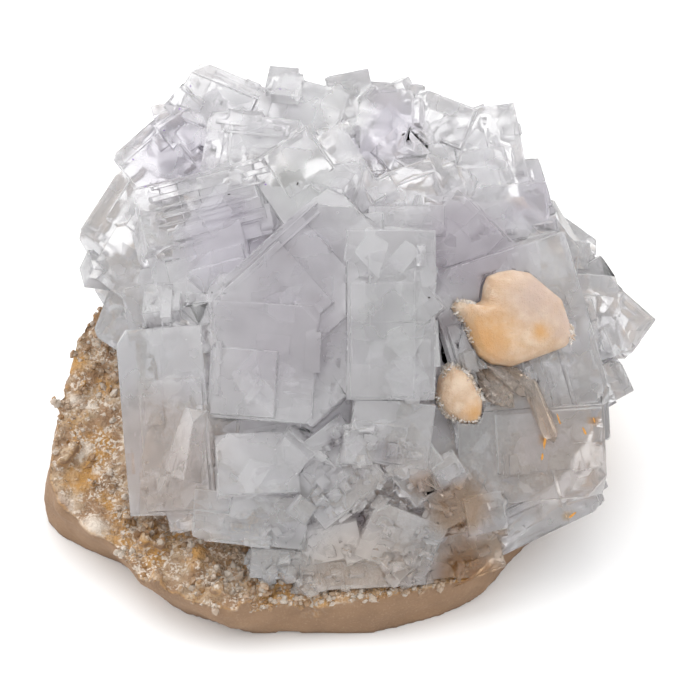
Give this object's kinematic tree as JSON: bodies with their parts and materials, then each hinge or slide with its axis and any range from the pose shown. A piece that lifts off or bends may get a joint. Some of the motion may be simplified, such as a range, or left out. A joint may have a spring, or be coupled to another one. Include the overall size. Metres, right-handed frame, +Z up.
{
  "type": "fluorite specimen",
  "caption": "Cluster of intergrown cubic crystals on a rough rock base, with two rounded crystals and small prisms set in its face.",
  "frame": {"origin": "middle of the flat underside of the rock, on the surface that the specimen rests on", "axes": "+X to the right as the display face is looked at, -Y towards the viewer, +Z up; the display face leans back 45 degrees"},
  "size_m": [0.1024, 0.0871, 0.0624],
  "materials": {
    "matrix_rock": "rough iron-stained rock with small quartz crystals",
    "fluorite": "pale lilac, milky to clear, with frosted faces",
    "calcite": "satin, peach to orange, lets a little light through",
    "smoky_quartz": "clear smoky brown"
  },
  "bodies": {
    "root": {"matrix": "matrix_rock", "fluorite_cluster": "fluorite", "calcite_large": "calcite", "calcite_small": "calcite", "smoky_quartz": "smoky_quartz"}
  },
  "joints": []
}
